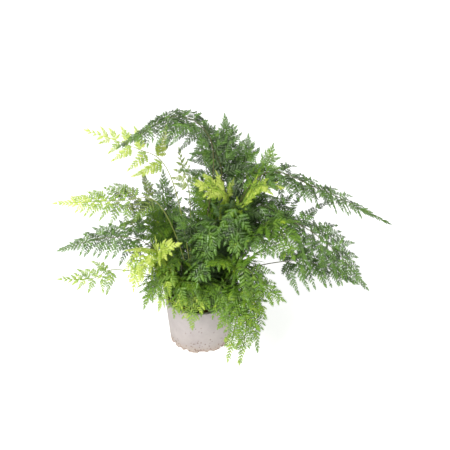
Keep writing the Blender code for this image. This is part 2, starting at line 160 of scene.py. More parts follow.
# pinnae: the gap between them is so much and a share of their length, those on one side stand
# further along, and they leave the stem at an angle that sweeps forward to the tip
LEAST_REACH = 7 * MM
PINNA_GAP = (4 * MM, 0.29)
PINNA_STAGGER = 0.38
PINNA_ANGLE = 68
PINNA_SWEEP = 33
RIB_BOW = 0.16
RIB_SEGMENT = 5 * MM
# leaflets: the longest on a pinna, by the pinnae's gap, by its own length and outright, and
# the gap between them in the same way as the pinnae's
LEAFLET_LIMITS = (0.95, 0.55, 15 * MM)
LEAFLET_GAP = (0.5 * MM, 0.47)
LEAST_LEAFLET = 4.2 * MM
LEAFLET_ANGLE = 60
LEAFLET_SWEEP = 22
ONE_LEAFLET = 14 * MM
# how far from its end the last leaflet sits, and that leaflet's length
PINNA_TIP = (3 * MM, 8 * MM)
FROND_TIP = (1 * MM, 9 * MM)
TONE_SPREAD = 0.12
# how far apart a frond's pinnae stand, and how much fresher it turns towards its tip
OPEN_FRONDS = {"upper_left_lime": 1.5, "left_low_small": 1.3, "upper_left_young": 1.3,
               "crown_arching_left": 0.8, "crown_left_dark": 0.72, "crown_top": 0.75,
               "crown_top_right": 0.8, "right_broad": 0.8, "right_low": 0.85,
               "left_dark": 0.9, "far_right_arching": 0.8}
USUAL_FRESHENING = 0.12
FRESH_TIPS = {"left_long_lime": 1.5, "cascade_long": 0.35, "cascade_middle": 0.35,
              "left_inner": 0.3, "rim_left_lime": 0.3, "front_centre": 0.3}
# the age from which a frond is green, and then lime
GREEN_FROM = 0.3
LIME_FROM = 0.58
# each leaf slot's material: its name, the colours of ribs (pale veins, made paler still as a
# painted highlight), under side and stem, and roughness
LEAF_SKINS = {
    "leaf_mature": ("mature_fern_blade", "93AD78", "6C885A", "5C5A34", (0.20, 0.40)),
    "leaf_green": ("green_fern_blade", "93B055", "6F9046", "6A7036", (0.25, 0.44)),
    "leaf_lime": ("young_fern_blade", "C4D878", "A0BC5C", "8A9448", (0.36, 0.54)),
}
LEAF_SIZE = {"leaf_mature": 1.2, "leaf_green": 1.1, "leaf_lime": 1.12}

# name: way-points in cm where the blade starts, bends and ends, then the length of its
# longest pinna in cm, the blade's roll in degrees, how much its pinnae droop (0 to 1),
# and its age from 0 (dark, leathery) to 1 (fresh lime)
FRONDS = {
    "crown_arching_left": ((2, 4, 37.5), (-3, 5, 41), (-12.5, 2, 37), 5.8, 30, 0.5, 0.1),
    "crown_left_dark": ((4, 6, 29.5), (2.5, 6.5, 35), (1, 7, 39), 6.5, 75, 0.1, 0.1),
    "crown_top": ((5, 8, 28), (5, 11.5, 32), (4.5, 14, 37), 7, 0, 0.1, 0.1),
    "crown_top_right": ((7.5, 6, 27.5), (8, 9, 31), (8.5, 11, 34.5), 5.5, 0, 0.1, 0.15),
    "upper_left_lime": ((-6, 6, 32), (-11, 7, 34.5), (-18.5, 7, 37.5), 6, 50, 0.1, 0.95),
    "upper_left_young": ((-2, 9, 26), (-3, 10, 29), (-3.5, 11, 32), 2.6, 0, 0.1, 0.8),
    "far_right_arching": ((11, 3, 31.5), (19.5, 1, 30), (31.5, -2, 25), 5.2, -5, 0.2, 0.15),
    "top_right_small": ((10.5, 5, 30), (11.7, 5, 33), (12.4, 5, 35.5), 3.8, -20, 0.1, 0.3),
    "top_right_lime": ((9.5, 0, 30.5), (11.5, -0.5, 31), (13.5, -1, 31), 2.4, -20, 0.1, 0.8),
    "right_broad": ((14.5, -2, 25), (22, -3, 21), (28.5, -5, 14), 8, -35, 0.1, 0.15),
    "right_low": ((14, -4, 18.5), (20, -4, 18), (26.5, -5, 15), 5.5, -25, 0.3, 0.2),
    "right_upright": ((10, 2, 23), (13, 3, 25), (15.5, 4, 26.5), 4.6, -30, 0.1, 0.2),
    "right_middle": ((9.5, 1, 26.5), (13, 0, 26), (16.5, -1, 24), 5.5, -25, 0.2, 0.15),
    "right_vivid": ((11.5, -4, 26), (14, -7, 25.5), (15.5, -9, 22.5), 5, -20, 0.2, 0.3),
    "right_drooping": ((7.5, -8, 20), (10.5, -9, 17.5), (14, -10, 15), 5, -30, 0.2, 0.35),
    "left_long_lime": ((-7.5, 2, 27), (-12.5, 1, 27.5), (-23.5, 0, 27.5), 5.8, 45, 0.15, 0.6),
    "left_dark": ((-9.5, -3, 22), (-16, -4, 23), (-22.5, -5, 21.5), 4.4, 40, 0.2, 0.15),
    "left_low_small": ((-14.5, -5, 17.5), (-17.5, -6, 16.5), (-22.5, -7, 17), 3.2, 45, 0.1, 0.62),
    "left_lime_droop": ((-7, -6, 22), (-9.5, -8, 21.5), (-10.5, -9, 16.5), 4, 10, 0.2, 0.9),
    "left_lime_front": ((-6.5, -6.5, 21.5), (-5.5, -8, 23.5), (-3, -9, 25), 3.2, -50, 0.2, 0.9),
    "left_lime_low": ((-7, -4, 18.5), (-8.5, -6, 19.5), (-10.5, -7, 18), 3.8, 20, 0.2, 0.8),
    "left_inner": ((-6, 3, 18.5), (-7.5, 4, 21), (-9, 5, 24.5), 4, 20, 0.1, 0.45),
    "left_inner_tall": ((-5.5, 6, 20.5), (-6.5, 8, 24), (-6.5, 10, 28), 4.2, 10, 0.1, 0.2),
    "centre_lime": ((4.8, 1, 28.5), (2.5, 0, 30.5), (0, -1, 31.5), 4, 45, 0.1, 0.9),
    "centre_hanging": ((3.5, -2, 25), (2, -5, 25), (1.5, -7, 20.5), 5, 0, 0.3, 0.2),
    "centre_right_hanging": ((6, -1, 27.5), (6.5, -4, 25.5), (6.5, -7, 22), 5.2, 0, 0.3, 0.25),
    "centre_left_dark": ((0.5, -1, 21), (-1.5, -1, 23.5), (-3.5, -1, 25), 4, 40, 0.1, 0.15),
    "centre_front_dark": ((1.5, -4, 20), (1, -6.5, 20.5), (0, -9, 17.5), 4, 0, 0.3, 0.2),
    "centre_front_left": ((-3, -4, 19), (-4, -6, 20.5), (-6, -8, 19), 4.2, 0, 0.3, 0.35),
    "centre_front_right": ((6.5, -4, 18.5), (8.5, -6, 19), (11, -8, 17), 4.2, 0, 0.3, 0.3),
    "centre_back_tall": ((2, 4, 23), (1, 6, 26), (-1, 8, 29), 4.5, 0, 0.1, 0.3),
    "centre_right_low": ((8.5, -3, 23.5), (10.5, -6, 24), (12, -8, 22.5), 4.4, 0, 0.3, 0.25),
    "rim_left_mid": ((-5.5, -6, 18), (-6.5, -8, 17.5), (-8, -9, 15), 3.4, 10, 0.2, 0.32),
    "rim_left_lime": ((-4.5, -7, 18.5), (-5.5, -9, 17), (-6.5, -9, 12.5), 3.2, 0, 0.2, 0.6),
    "rim_left_low": ((-6, -4, 15.5), (-7.5, -6, 15.5), (-9, -7.5, 12), 3.2, 10, 0.2, 0.45),
    "rim_right_low": ((7, -3, 15), (9, -4.5, 15.5), (12, -6, 12.5), 3.4, 0, 0.2, 0.3),
    "rim_front_left": ((-2.5, -7.5, 17), (-3.5, -9, 15.5), (-4, -9.5, 11.5), 3.2, 0, 0.2, 0.55),
    "front_left": ((-0.5, -6, 16.5), (-1.5, -8, 16.5), (-3, -9, 12.5), 3.8, 0, 0.2, 0.3),
    "front_centre": ((1, -6, 15.5), (0.5, -8, 15.5), (0.5, -9, 11.5), 3.6, 0, 0.2, 0.3),
    "front_centre_drip": ((-0.5, -8, 15), (-1, -9.5, 13), (-1, -9.5, 9), 2.4, 0, 0.2, 0.6),
    "front_right": ((4, -6, 15.5), (3.5, -8, 15), (2.5, -9, 11), 3.8, 0, 0.2, 0.3),
    "front_right_up": ((5.5, -4, 18.5), (4, -7, 20.5), (2, -9, 21), 3.8, 0, 0.3, 0.45),
    "cascade_long": ((7, -8, 16.5), (8, -11, 11), (7, -12, 3.5), 3.8, 0, 0.1, 0.5),
    "cascade_middle": ((7, -9, 14.5), (6, -12, 10.5), (5, -13, 5), 3.2, 0, 0.1, 0.55),
    "cascade_left": ((5.5, -8, 15.5), (5, -9.5, 13), (3.5, -10.5, 10), 3.2, 0, 0.1, 0.5),
    "cascade_dark": ((8.5, -8, 14), (9.5, -10, 10.5), (10, -11, 5.5), 2.8, 0, 0.1, 0.3),
    "cascade_right": ((8, -7.5, 14.5), (9.5, -9.5, 14), (11, -11, 12.5), 3, 0, 0.1, 0.5),
    "back_left_tall": ((-4, 8, 19), (-8, 14, 20), (-13, 20, 17), 5, 0, 0.2, 0.2),
    "back_centre": ((1, 10, 23), (2, 16, 23), (4, 22, 19), 5, 0, 0.2, 0.15),
    "back_right": ((6, 9, 21), (10, 14, 22), (16, 19, 18), 5, 0, 0.2, 0.25),
    "back_low_left": ((-4, 8, 16.5), (-6, 12, 17), (-8.5, 17, 12), 3.6, 0, 0.2, 0.5),
    "back_low_right": ((3.5, 8, 16), (6, 12.5, 16), (8.5, 17, 11), 3.6, 0, 0.2, 0.4),
    "back_rim": ((0, 7.5, 15), (-0.5, 10.5, 13.5), (-1, 12, 8), 3, 0, 0.2, 0.8),
    "right_back": ((9, 5, 20), (15, 8, 20), (22, 10, 17), 4.5, 0, 0.2, 0.25),
    "left_back": ((-8, 6, 19), (-12.5, 10, 18.5), (-16, 15, 14), 4, 0, 0.2, 0.45),
}


def unit(vectors):
    return vectors / np.linalg.norm(vectors, axis=-1, keepdims=True)


def new_object(name, data):
    made = bpy.data.objects.new(name, data)
    bpy.context.scene.collection.objects.link(made)
    return made


def finished_mesh(shape, name):
    """A bmesh as a mesh of that name."""
    mesh = bpy.data.meshes.new(name)
    shape.to_mesh(mesh)
    shape.free()
    return mesh


def evaluated_mesh(thing):
    """The plain mesh that an object's modifiers make of it."""
    graph = bpy.context.evaluated_depsgraph_get()
    return bpy.data.meshes.new_from_object(thing.evaluated_get(graph),
                                           preserve_all_data_layers=True, depsgraph=graph)


def discard(thing):
    mesh = thing.data
    bpy.data.objects.remove(thing, do_unlink=True)
    bpy.data.meshes.remove(mesh)


def shape_collection(name, meshes):
    """Shapes for a tree to copy, which it takes in the order of their names."""
    shapes = bpy.data.collections.new(name)
    bpy.context.scene.collection.children.link(shapes)
    for mesh in meshes:
        shapes.objects.link(bpy.data.objects.new(mesh.name, mesh))
    return shapes


def remove_shapes(shapes):
    """Takes away a collection of shapes once their copies are real."""
    for shape in list(shapes.objects):
        discard(shape)
    bpy.data.collections.remove(shapes)


def stand_for(piece, cad_node):
    """Puts a finished piece in its CAD node's place: hides the node and hangs the piece on the
    root body.
    """
    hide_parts(cad_node)
    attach(piece, "root")


# ---- colours and nodes ----

def colour(hexadecimal):
    """An sRGB hex colour as linear RGBA."""
    values = [int(hexadecimal[i:i + 2], 16) / 255 for i in (0, 2, 4)]
    linear = [v / 12.92 if v <= 0.04045 else ((v + 0.055) / 1.055) ** 2.4 for v in values]
    return (*linear, 1)


def connect(tree, made, inputs):
    """Gives a node's inputs their values or links; another node stands for its first output."""
    for key, value in inputs.items():
        if isinstance(value, bpy.types.Node):
            value = value.outputs[0]
        if isinstance(value, bpy.types.NodeSocket):
            tree.links.new(value, made.inputs[key])
        else:
            made.inputs[key].default_value = value


def node(tree, kind, inputs=None, stops=(), **settings):
    """Adds one node: its settings, its inputs, and a ramp's (place, hex) stops."""
    made = tree.nodes.new(kind)
    for key, value in settings.items():
        setattr(made, key, value)
    connect(tree, made, inputs or {})
    if stops:
        ramp = made.color_ramp.elements
        ramp[0].position, ramp[0].color = stops[0][0], colour(stops[0][1])
        ramp[1].position, ramp[1].color = stops[-1][0], colour(stops[-1][1])
        for place, shade in stops[1:-1]:
            ramp.new(place).color = colour(shade)
    return made


def new_material(name):
    material = bpy.data.materials.new(name)
    material.use_nodes = True
    tree = material.node_tree
    return material, tree, tree.nodes["Principled BSDF"]


# ---- materials ----

# from an old, leathery blade to one that has just unrolled; the darkest stop also gives the
# painted shade down in the clump
LEAF_AGES = ((0.0, "122902"), (0.15, "3F660C"), (0.35, "50790D"), (0.6, "6C8F10"),
             (0.8, "95AE24"), (1.0, "BFCD5E"))


def fern_leaf(name, rib_and_highlight_shade, under_shade, stem_shade, shine):
    """Living fern blade: a waxy skin over spongy green tissue, so it is half glossy above and
    paler and duller below, with lighter veins partly painted as a highlight, and yellower fresh
    growth."""
    material, tree, shader = new_material(name)
    place = node(tree, "ShaderNodeTexCoord").outputs["Object"]
    age, vein, under, stem = (
        node(tree, "ShaderNodeAttribute", attribute_name=key).outputs["Fac"]
        for key in ("age", "vein", "under", "stem"))
    # blotches about 12 mm across: neighbouring leaflets differ a little in tone
    blotch = node(tree, "ShaderNodeTexNoise", {"Vector": place, "Scale": 80.0, "Detail": 3.0})
    drift = node(tree, "ShaderNodeMath", {0: blotch, 1: 0.5}, operation="SUBTRACT")
    fresh = node(tree, "ShaderNodeMath", {0: drift, 1: 0.9, 2: age}, operation="MULTIPLY_ADD")
    blade = node(tree, "ShaderNodeValToRGB", {"Fac": fresh}, LEAF_AGES)
    # lighter along the veins: their own paler colour, and a painted highlight
    vein_highlight_share = node(tree, "ShaderNodeMath", {0: vein, 1: 0.4}, operation="MULTIPLY")
    veined_and_highlit = node(tree, "ShaderNodeMix", {
        0: vein_highlight_share, 6: blade, 7: colour(rib_and_highlight_shade)}, data_type="RGBA")
    under_share = node(tree, "ShaderNodeMath", {0: under, 1: 0.5}, operation="MULTIPLY")
    faced = node(tree, "ShaderNodeMix", {
        0: under_share, 6: veined_and_highlit.outputs[2], 7: colour(under_shade)}, data_type="RGBA")
    whole = node(tree, "ShaderNodeMix", {
        0: stem, 6: faced.outputs[2], 7: colour(stem_shade)}, data_type="RGBA")
    # the waxy skin is uneven over about 3 mm
    skin = node(tree, "ShaderNodeTexNoise", {"Vector": place, "Scale": 330.0, "Detail": 2.0})
    rough = node(tree, "ShaderNodeMapRange", {
        "Value": skin, "From Min": 0.3, "From Max": 0.7, "To Min": shine[0], "To Max": shine[1]})
    dull = node(tree, "ShaderNodeMath", {
        0: under_share, 1: 0.3, 2: rough}, operation="MULTIPLY_ADD")
    bump = node(tree, "ShaderNodeBump", {"Height": skin, "Strength": 0.25, "Distance": 0.0004})
    connect(tree, shader, {"Base Color": whole.outputs[2], "Roughness": dull, "Normal": bump,
                           "IOR": 1.42, "Specular IOR Level": 0.42})
    return material


def fired_stoneware(name):
    """Unglazed pale stoneware: matt and smooth above, with iron specks that burnt out into
    small brown pits, and a sandy, rust-tinted band where the foot stood on the kiln shelf."""
    material, tree, shader = new_material(name)
    place = node(tree, "ShaderNodeTexCoord").outputs["Object"]
    # clouds about 40 mm across in the fired clay
    cloud = node(tree, "ShaderNodeTexNoise", {
        "Vector": place, "Scale": 25.0, "Detail": 4.0, "Roughness": 0.6})
    body = node(tree, "ShaderNodeValToRGB", {"Fac": cloud}, (
        (0.3, "A39A98"), (0.5, "AEA6A4"), (0.7, "B9B1AE")))
    # iron specks of 1 mm
    speck = node(tree, "ShaderNodeTexNoise", {"Vector": place, "Scale": 900.0, "Detail": 1.0})
    dots = node(tree, "ShaderNodeMapRange", {
        "Value": speck, "From Min": 0.68, "From Max": 0.76, "To Min": 0.0, "To Max": 0.5})
    height = node(tree, "ShaderNodeSeparateXYZ", {"Vector": place}).outputs["Z"]
    # the sandy band's upper edge wanders every 11 mm or so
    ragged = node(tree, "ShaderNodeTexNoise", {
        "Vector": place, "Scale": 90.0, "Detail": 5.0, "Roughness": 0.7})
    lifted = node(tree, "ShaderNodeMath", {
        0: ragged, 1: -0.03, 2: height}, operation="MULTIPLY_ADD")
    band = node(tree, "ShaderNodeMapRange", {
        "Value": lifted, "From Min": -0.012, "From Max": 0.004, "To Min": 1.0, "To Max": 0.0},
        interpolation_type="SMOOTHSTEP")
    sand = node(tree, "ShaderNodeValToRGB", {"Fac": speck}, (
        (0.3, "988474"), (0.5, "B0A092"), (0.7, "C2B5A9")))
    sandy = node(tree, "ShaderNodeMath", {0: band, 1: 0.75}, operation="MULTIPLY")
    # painted shade: the clay is a little darker towards the foot
    foot_shade = node(tree, "ShaderNodeMapRange", {
        "Value": height, "From Min": 0.0, "From Max": 0.06, "To Min": 0.45, "To Max": 0.0})
    foot_shaded = node(tree, "ShaderNodeMix", {0: foot_shade, 6: body, 7: colour("93877F")}, data_type="RGBA")
    footed = node(tree, "ShaderNodeMix", {
        0: sandy, 6: foot_shaded.outputs[2], 7: sand}, data_type="RGBA")
    specked = node(tree, "ShaderNodeMix", {
        0: dots, 6: footed.outputs[2], 7: colour("9A8172")}, data_type="RGBA")
    pit = node(tree, "ShaderNodeAttribute", attribute_name="pit")
    pitted = node(tree, "ShaderNodeMix", {
        0: pit.outputs["Fac"], 6: specked.outputs[2], 7: colour("5E4030")}, data_type="RGBA")
    # grains of 0.4 mm, drawn as coarse as 1 mm so that they show
    grain = node(tree, "ShaderNodeTexNoise", {"Vector": place, "Scale": 1000.0, "Detail": 3.0})
    tooth = node(tree, "ShaderNodeMapRange", {"Value": band, "To Min": 0.06, "To Max": 0.5})
    bump = node(tree, "ShaderNodeBump", {"Height": grain, "Strength": tooth, "Distance": 0.0006})
    rough = node(tree, "ShaderNodeMapRange", {"Value": band, "To Min": 0.62, "To Max": 0.9})
    connect(tree, shader, {"Base Color": pitted.outputs[2], "Roughness": rough, "Normal": bump,
                           "IOR": 1.5})
    return material


def potting_soil(name):
    """Moist peat-free compost: dark crumbs, a little lighter where they have dried."""
    material, tree, shader = new_material(name)
    place = node(tree, "ShaderNodeTexCoord").outputs["Object"]
    # crumbs of about 4 mm, with finer ones between
    crumb = node(tree, "ShaderNodeTexNoise", {
        "Vector": place, "Scale": 260.0, "Detail": 5.0, "Roughness": 0.65})
    shade = node(tree, "ShaderNodeValToRGB", {"Fac": crumb}, (
        (0.3, "1A120D"), (0.52, "30231A"), (0.75, "5A4433")))
    bump = node(tree, "ShaderNodeBump", {"Height": crumb, "Strength": 0.6, "Distance": 0.001})
    connect(tree, shader, {"Base Color": shade, "Normal": bump, "Roughness": 0.92})
    return material


def rhizome_scale(name):
    """Papery brown scales over a creeping fern stem: dry, fibrous and matt, paler at the tips."""
    material, tree, shader = new_material(name)
    place = node(tree, "ShaderNodeTexCoord").outputs["Object"]
    # fibres of 0.3 mm, drawn as coarse as 2 mm so that they show
    fibre = node(tree, "ShaderNodeTexNoise", {"Vector": place, "Scale": 500.0, "Detail": 3.0})
    tip = node(tree, "ShaderNodeAttribute", attribute_name="vein")
    mixed = node(tree, "ShaderNodeMath", {
        0: tip.outputs["Fac"], 1: 0.35, 2: fibre}, operation="MULTIPLY_ADD")
    shade = node(tree, "ShaderNodeValToRGB", {"Fac": mixed}, (
        (0.3, "5B3B22"), (0.6, "8C6841"), (0.95, "BE9D70")))
    bump = node(tree, "ShaderNodeBump", {"Height": fibre, "Strength": 0.4, "Distance": 0.0004})
    connect(tree, shader, {"Base Color": shade, "Normal": bump, "Roughness": 0.75})
    return material


# ---- leaflet shapes: thin closed lenses of unit length along X, facing +Z ----

# lobes on each side, and half the width, of each kind; the last is a pinna of one leaflet
LEAFLET_KINDS = ((1, 0.36), (2, 0.40), (3, 0.42), (4, 0.43), (4, 0.52), (5, 0.44), (6, 0.45))
# the length up to which each kind is used
KIND_LENGTHS = (3.6 * MM, 5.6 * MM, 8.0 * MM, 11.0 * MM, 15.0 * MM)
LEAFLET_THICKNESS = 0.05


def leaflet_mesh(name, lobes, width):
    """A lobed leaflet: every lobe is a small raised pad beside the midrib, above and below."""
    def envelope(x):
        return width * (1 - x) ** 0.8 * min(1.0, 0.72 + 1.8 * x)

    def lift(x, y):
        return -0.10 * x * x - 0.9 * y * y

    shape = bmesh.new()
    vein = shape.verts.layers.float.new("vein")
    under = shape.faces.layers.float.new("under")

    def corner(x, y, side=0, thick=0.0, veined_and_highlit=0.0):
        made = shape.verts.new((x, y, lift(x, y) + side * thick * LEAFLET_THICKNESS / 2))
        made[vein] = veined_and_highlit
        return made

    stations = [step / (lobes + 0.7) for step in range(lobes + 1)]
    foot, apex = corner(0, 0, veined_and_highlit=0.8), corner(1, 0)
    ribs = {side: [foot] + [corner(x, 0, side, 1 - 0.6 * x, 1.0) for x in stations[1:]]
            for side in (1, -1)}
    for hand in (1, -1):
        before = foot
        for number in range(lobes):
            low, high = stations[number], stations[number + 1]
            wide = envelope((low + high) / 2)
            tip = corner(min(high + 0.13, 0.97), hand * wide)
            notch = corner(high - 0.01, hand * 0.24 * envelope(high))
            for side in (1, -1):
                pad = corner((low + high) / 2 + 0.05, hand * 0.5 * wide, side, 0.9, 0.15)
                ring = [before, tip, notch, ribs[side][number + 1], ribs[side][number]]
                for one, two in zip(ring, ring[1:] + ring[:1]):
                    if one is two:
                        continue
                    order = (one, two, pad) if hand * side < 0 else (two, one, pad)
                    shape.faces.new(order)[under] = float(side < 0)
            before = notch
        for side in (1, -1):
            order = (ribs[side][-1], before, apex)
            shape.faces.new(order if hand * side < 0 else order[::-1])[under] = float(side < 0)
    return finished_mesh(shape, name)


# ---- geometry nodes: stems along edges, leaflets on points ----

# what a skeleton's points carry, and its kind
SKELETON_VALUES = {"girth": "FLOAT", "age": "FLOAT", "stem": "FLOAT", "leaf_length": "FLOAT",
                   "leaf_kind": "INT", "leaf_along": "FLOAT_VECTOR", "leaf_face": "FLOAT_VECTOR"}


def new_tree(name, inputs, result):
    """A geometry tree with named, typed inputs and one result, and its input sockets."""
    tree = bpy.data.node_groups.new(name, "GeometryNodeTree")
    for label, kind in inputs.items():
        tree.interface.new_socket(label, in_out="INPUT", socket_type=f"NodeSocket{kind}")
    tree.interface.new_socket(result, in_out="OUTPUT", socket_type="NodeSocketGeometry")
    return tree, tree.nodes.new("NodeGroupInput").outputs


def frond_tree():
    """Skeleton edges become tapered stems and ribs, and loose points become leaflets."""
    tree, source = new_tree("frond_growth", {
        "Skeleton": "Geometry", "Leaflet shapes": "Collection", "Leaf size": "Float",
        "Rib sides": "Int", "Leaf skin": "Material"}, "Frond")
    girth, leaf_length, leaf_kind, leaf_along, leaf_face = (
        node(tree, "GeometryNodeInputNamedAttribute", {"Name": key}, data_type=kind)
        for key, kind in SKELETON_VALUES.items() if key not in ("age", "stem"))
    lines = node(tree, "GeometryNodeMeshToCurve", {"Mesh": source["Skeleton"]})
    round_profile = node(tree, "GeometryNodeCurvePrimitiveCircle", {
        "Resolution": source["Rib sides"], "Radius": 1.0})
    stems = node(tree, "GeometryNodeCurveToMesh", {
        "Curve": lines, "Profile Curve": round_profile, "Scale": girth, "Fill Caps": True})
    smooth = node(tree, "GeometryNodeSetShadeSmooth", {"Geometry": stems, "Shade Smooth": True})
    is_leaf = node(tree, "FunctionNodeCompare", {
        0: leaf_length, 1: 0.0}, data_type="FLOAT", operation="GREATER_THAN")
    shapes = node(tree, "GeometryNodeCollectionInfo", {
        "Collection": source["Leaflet shapes"], "Separate Children": True, "Reset Children": True})
    turn = node(tree, "FunctionNodeAxesToRotation", {
        "Primary Axis": leaf_along, "Secondary Axis": leaf_face}, primary_axis="X",
        secondary_axis="Z")
    length = node(tree, "ShaderNodeMath", {
        0: leaf_length, 1: source["Leaf size"]}, operation="MULTIPLY")
    leaves = node(tree, "GeometryNodeInstanceOnPoints", {
        "Points": source["Skeleton"], "Selection": is_leaf, "Instance": shapes,
        "Pick Instance": True, "Instance Index": leaf_kind, "Rotation": turn, "Scale": length})
    joined = node(tree, "GeometryNodeJoinGeometry", {"Geometry": smooth})
    connect(tree, joined, {"Geometry": leaves})
    real = node(tree, "GeometryNodeRealizeInstances", {"Geometry": joined})
    skinned = node(tree, "GeometryNodeSetMaterial", {
        "Geometry": real, "Material": source["Leaf skin"]})
    node(tree, "NodeGroupOutput", {"Frond": skinned})
    return tree


def grown(name, skeleton, tree, values):
    """Runs a tree on a mesh, with its inputs set by their sockets' identifiers, and returns the
    result as a plain object of that name."""
    source = new_object(f"{name}_skeleton", skeleton)
    modifier = source.modifiers.new("growth", "NODES")
    modifier.node_group = tree
    for item in tree.interface.items_tree:
        if item.in_out == "INPUT" and item.name in values:
            modifier[item.identifier] = values[item.name]
    mesh = evaluated_mesh(source)
    mesh.name = name
    discard(source)
    return new_object(name, mesh)


# ---- pot ----

def outer_radius(height):
    return BASE_RADIUS + (RIM_RADIUS - BASE_RADIUS) * height / POT_HEIGHT


def pot_profile():
    """The wall's outline: out along the underside, up the outside, over the rim, down inside."""
    under = [(radius * MM, 0) for radius in UNDERSIDE_RINGS]
    foot = [(BASE_RADIUS - inset, z) for inset, z in FOOT_EDGE]
    low = [(outer_radius(z), z) for z in np.linspace(FOOT_EDGE[0][0], FINE_HEIGHT, LOW_ROWS)]
    high = [(outer_radius(z), z)
            for z in np.linspace(FINE_HEIGHT + 1 * MM, POT_HEIGHT - RIM_ROUND, HIGH_ROWS)]
    middle = RIM_RADIUS - POT_WALL / 2
    half = POT_WALL / 2
    rim = [(middle + half * math.cos(turn), POT_HEIGHT - RIM_ROUND + RIM_ROUND * math.sin(turn))
           for turn in np.linspace(0, math.pi, RIM_ROWS)[1:-1]]
    inner = [(outer_radius(z) - POT_WALL, z)
             for z in np.linspace(POT_HEIGHT - RIM_ROUND, POT_FLOOR, INNER_ROWS)]
    floor = [(radius * MM, POT_FLOOR) for radius in FLOOR_RINGS]
    return np.array([*under, *foot, *low, *high, *rim, *inner, *floor])


def add_pot(skin):
    """A thrown pot with a pitted wall and a chipped foot, and its three drain holes."""
    random = np.random.default_rng(11)
    profile = pot_profile()
    rows, columns = len(profile), POT_COLUMNS
    turn = np.linspace(0, 2 * math.pi, columns, endpoint=False)
    radius = np.repeat(profile[:, :1], columns, 1)
    height = np.repeat(profile[:, 1:], columns, 1)
    outside = np.zeros((rows, 1))
    first = len(UNDERSIDE_RINGS)
    outside[first:first + len(FOOT_EDGE) + LOW_ROWS + HIGH_ROWS] = 1
    pits = np.zeros((rows, columns))
    sunk = WALL_WOBBLE * (np.sin(3 * turn + 1) + np.sin(5 * turn + height / (14 * MM)))

    def around(place):
        """Distance round the wall from an angle, in metres."""
        return (((turn - place + math.pi) % (2 * math.pi)) - math.pi) * radius

    # pits where iron specks burnt out: crowded near the foot, few higher up
    for _ in range(PITS):
        low = random.random() < LOW_PITS
        level = min(random.exponential(LOW_PIT_SPREAD) if low
                    else random.uniform(0, HIGHEST_PITS[0]), HIGHEST_PITS[1])
        size = random.uniform(*PIT_RADII) * MM * (1 if low else 0.75)
        near = np.hypot(around(random.uniform(0, 2 * math.pi)), height - level - 1 * MM) / size
        bowl = np.clip(1 - near ** 2, 0, 1)
        sunk = sunk + 0.6 * size * bowl
        pits = np.maximum(pits, np.clip(1.25 - near, 0, 1))
    # chips knocked out of the foot's edge, one of them at the front
    chips = [(random.uniform(0, 2 * math.pi), *(random.uniform(*sizes) * MM
                                                for sizes in CHIP_SIZES)) for _ in range(CHIPS)]
    for place, wide, tall, deep in (FRONT_CHIP, *chips):
        bite = np.clip(1 - (around(place) / wide) ** 2, 0, 1) * np.clip(1 - height / tall, 0, 1)
        sunk = np.maximum(sunk, deep * bite)
        pits = np.maximum(pits, CHIP_TINT * (bite > 0.15))
    radius = radius - outside * sunk
    pits = pits * outside
    corners = np.stack([radius * np.cos(turn), radius * np.sin(turn), height], -1).reshape(-1, 3)

    faces = []
    for row in range(rows - 1):
        for column in range(columns):
            after = (column + 1) % columns
            faces.append((row * columns + column, row * columns + after,
                          (row + 1) * columns + after, (row + 1) * columns + column))
    faces.append(tuple(reversed(range(columns))))
    faces.append(tuple(range((rows - 1) * columns, rows * columns)))
    mesh = bpy.data.meshes.new("pot_wall")
    mesh.from_pydata(corners.tolist(), [], faces)
    mesh.attributes.new("pit", "FLOAT", "POINT").data.foreach_set(
        "value", pits.ravel().astype(np.float32))
    wall = new_object("pot_wall", mesh)
    wall.data.materials.append(skin)
    cutters = []
    for number in range(DRAIN_HOLES):
        angle = 2 * math.pi * number / DRAIN_HOLES + math.pi / 2
        place = (DRAIN_CIRCLE * math.cos(angle), DRAIN_CIRCLE * math.sin(angle), 0)
        bpy.ops.mesh.primitive_cylinder_add(vertices=DRAIN_SIDES, radius=DRAIN_RADIUS,
                                            depth=4 * POT_FLOOR, location=place)
        cutters.append(bpy.context.object)
        cut = wall.modifiers.new("drain", "BOOLEAN")
        cut.object = cutters[-1]
        cut.solver = "EXACT"
    drained = evaluated_mesh(wall)
    for thing in (wall, *cutters):
        discard(thing)
    drained.shade_smooth()
    drained.set_sharp_from_angle(angle=math.radians(SHARP_EDGE))
    stand_for(new_object("stoneware_pot", drained), "pot")


# ---- soil ----

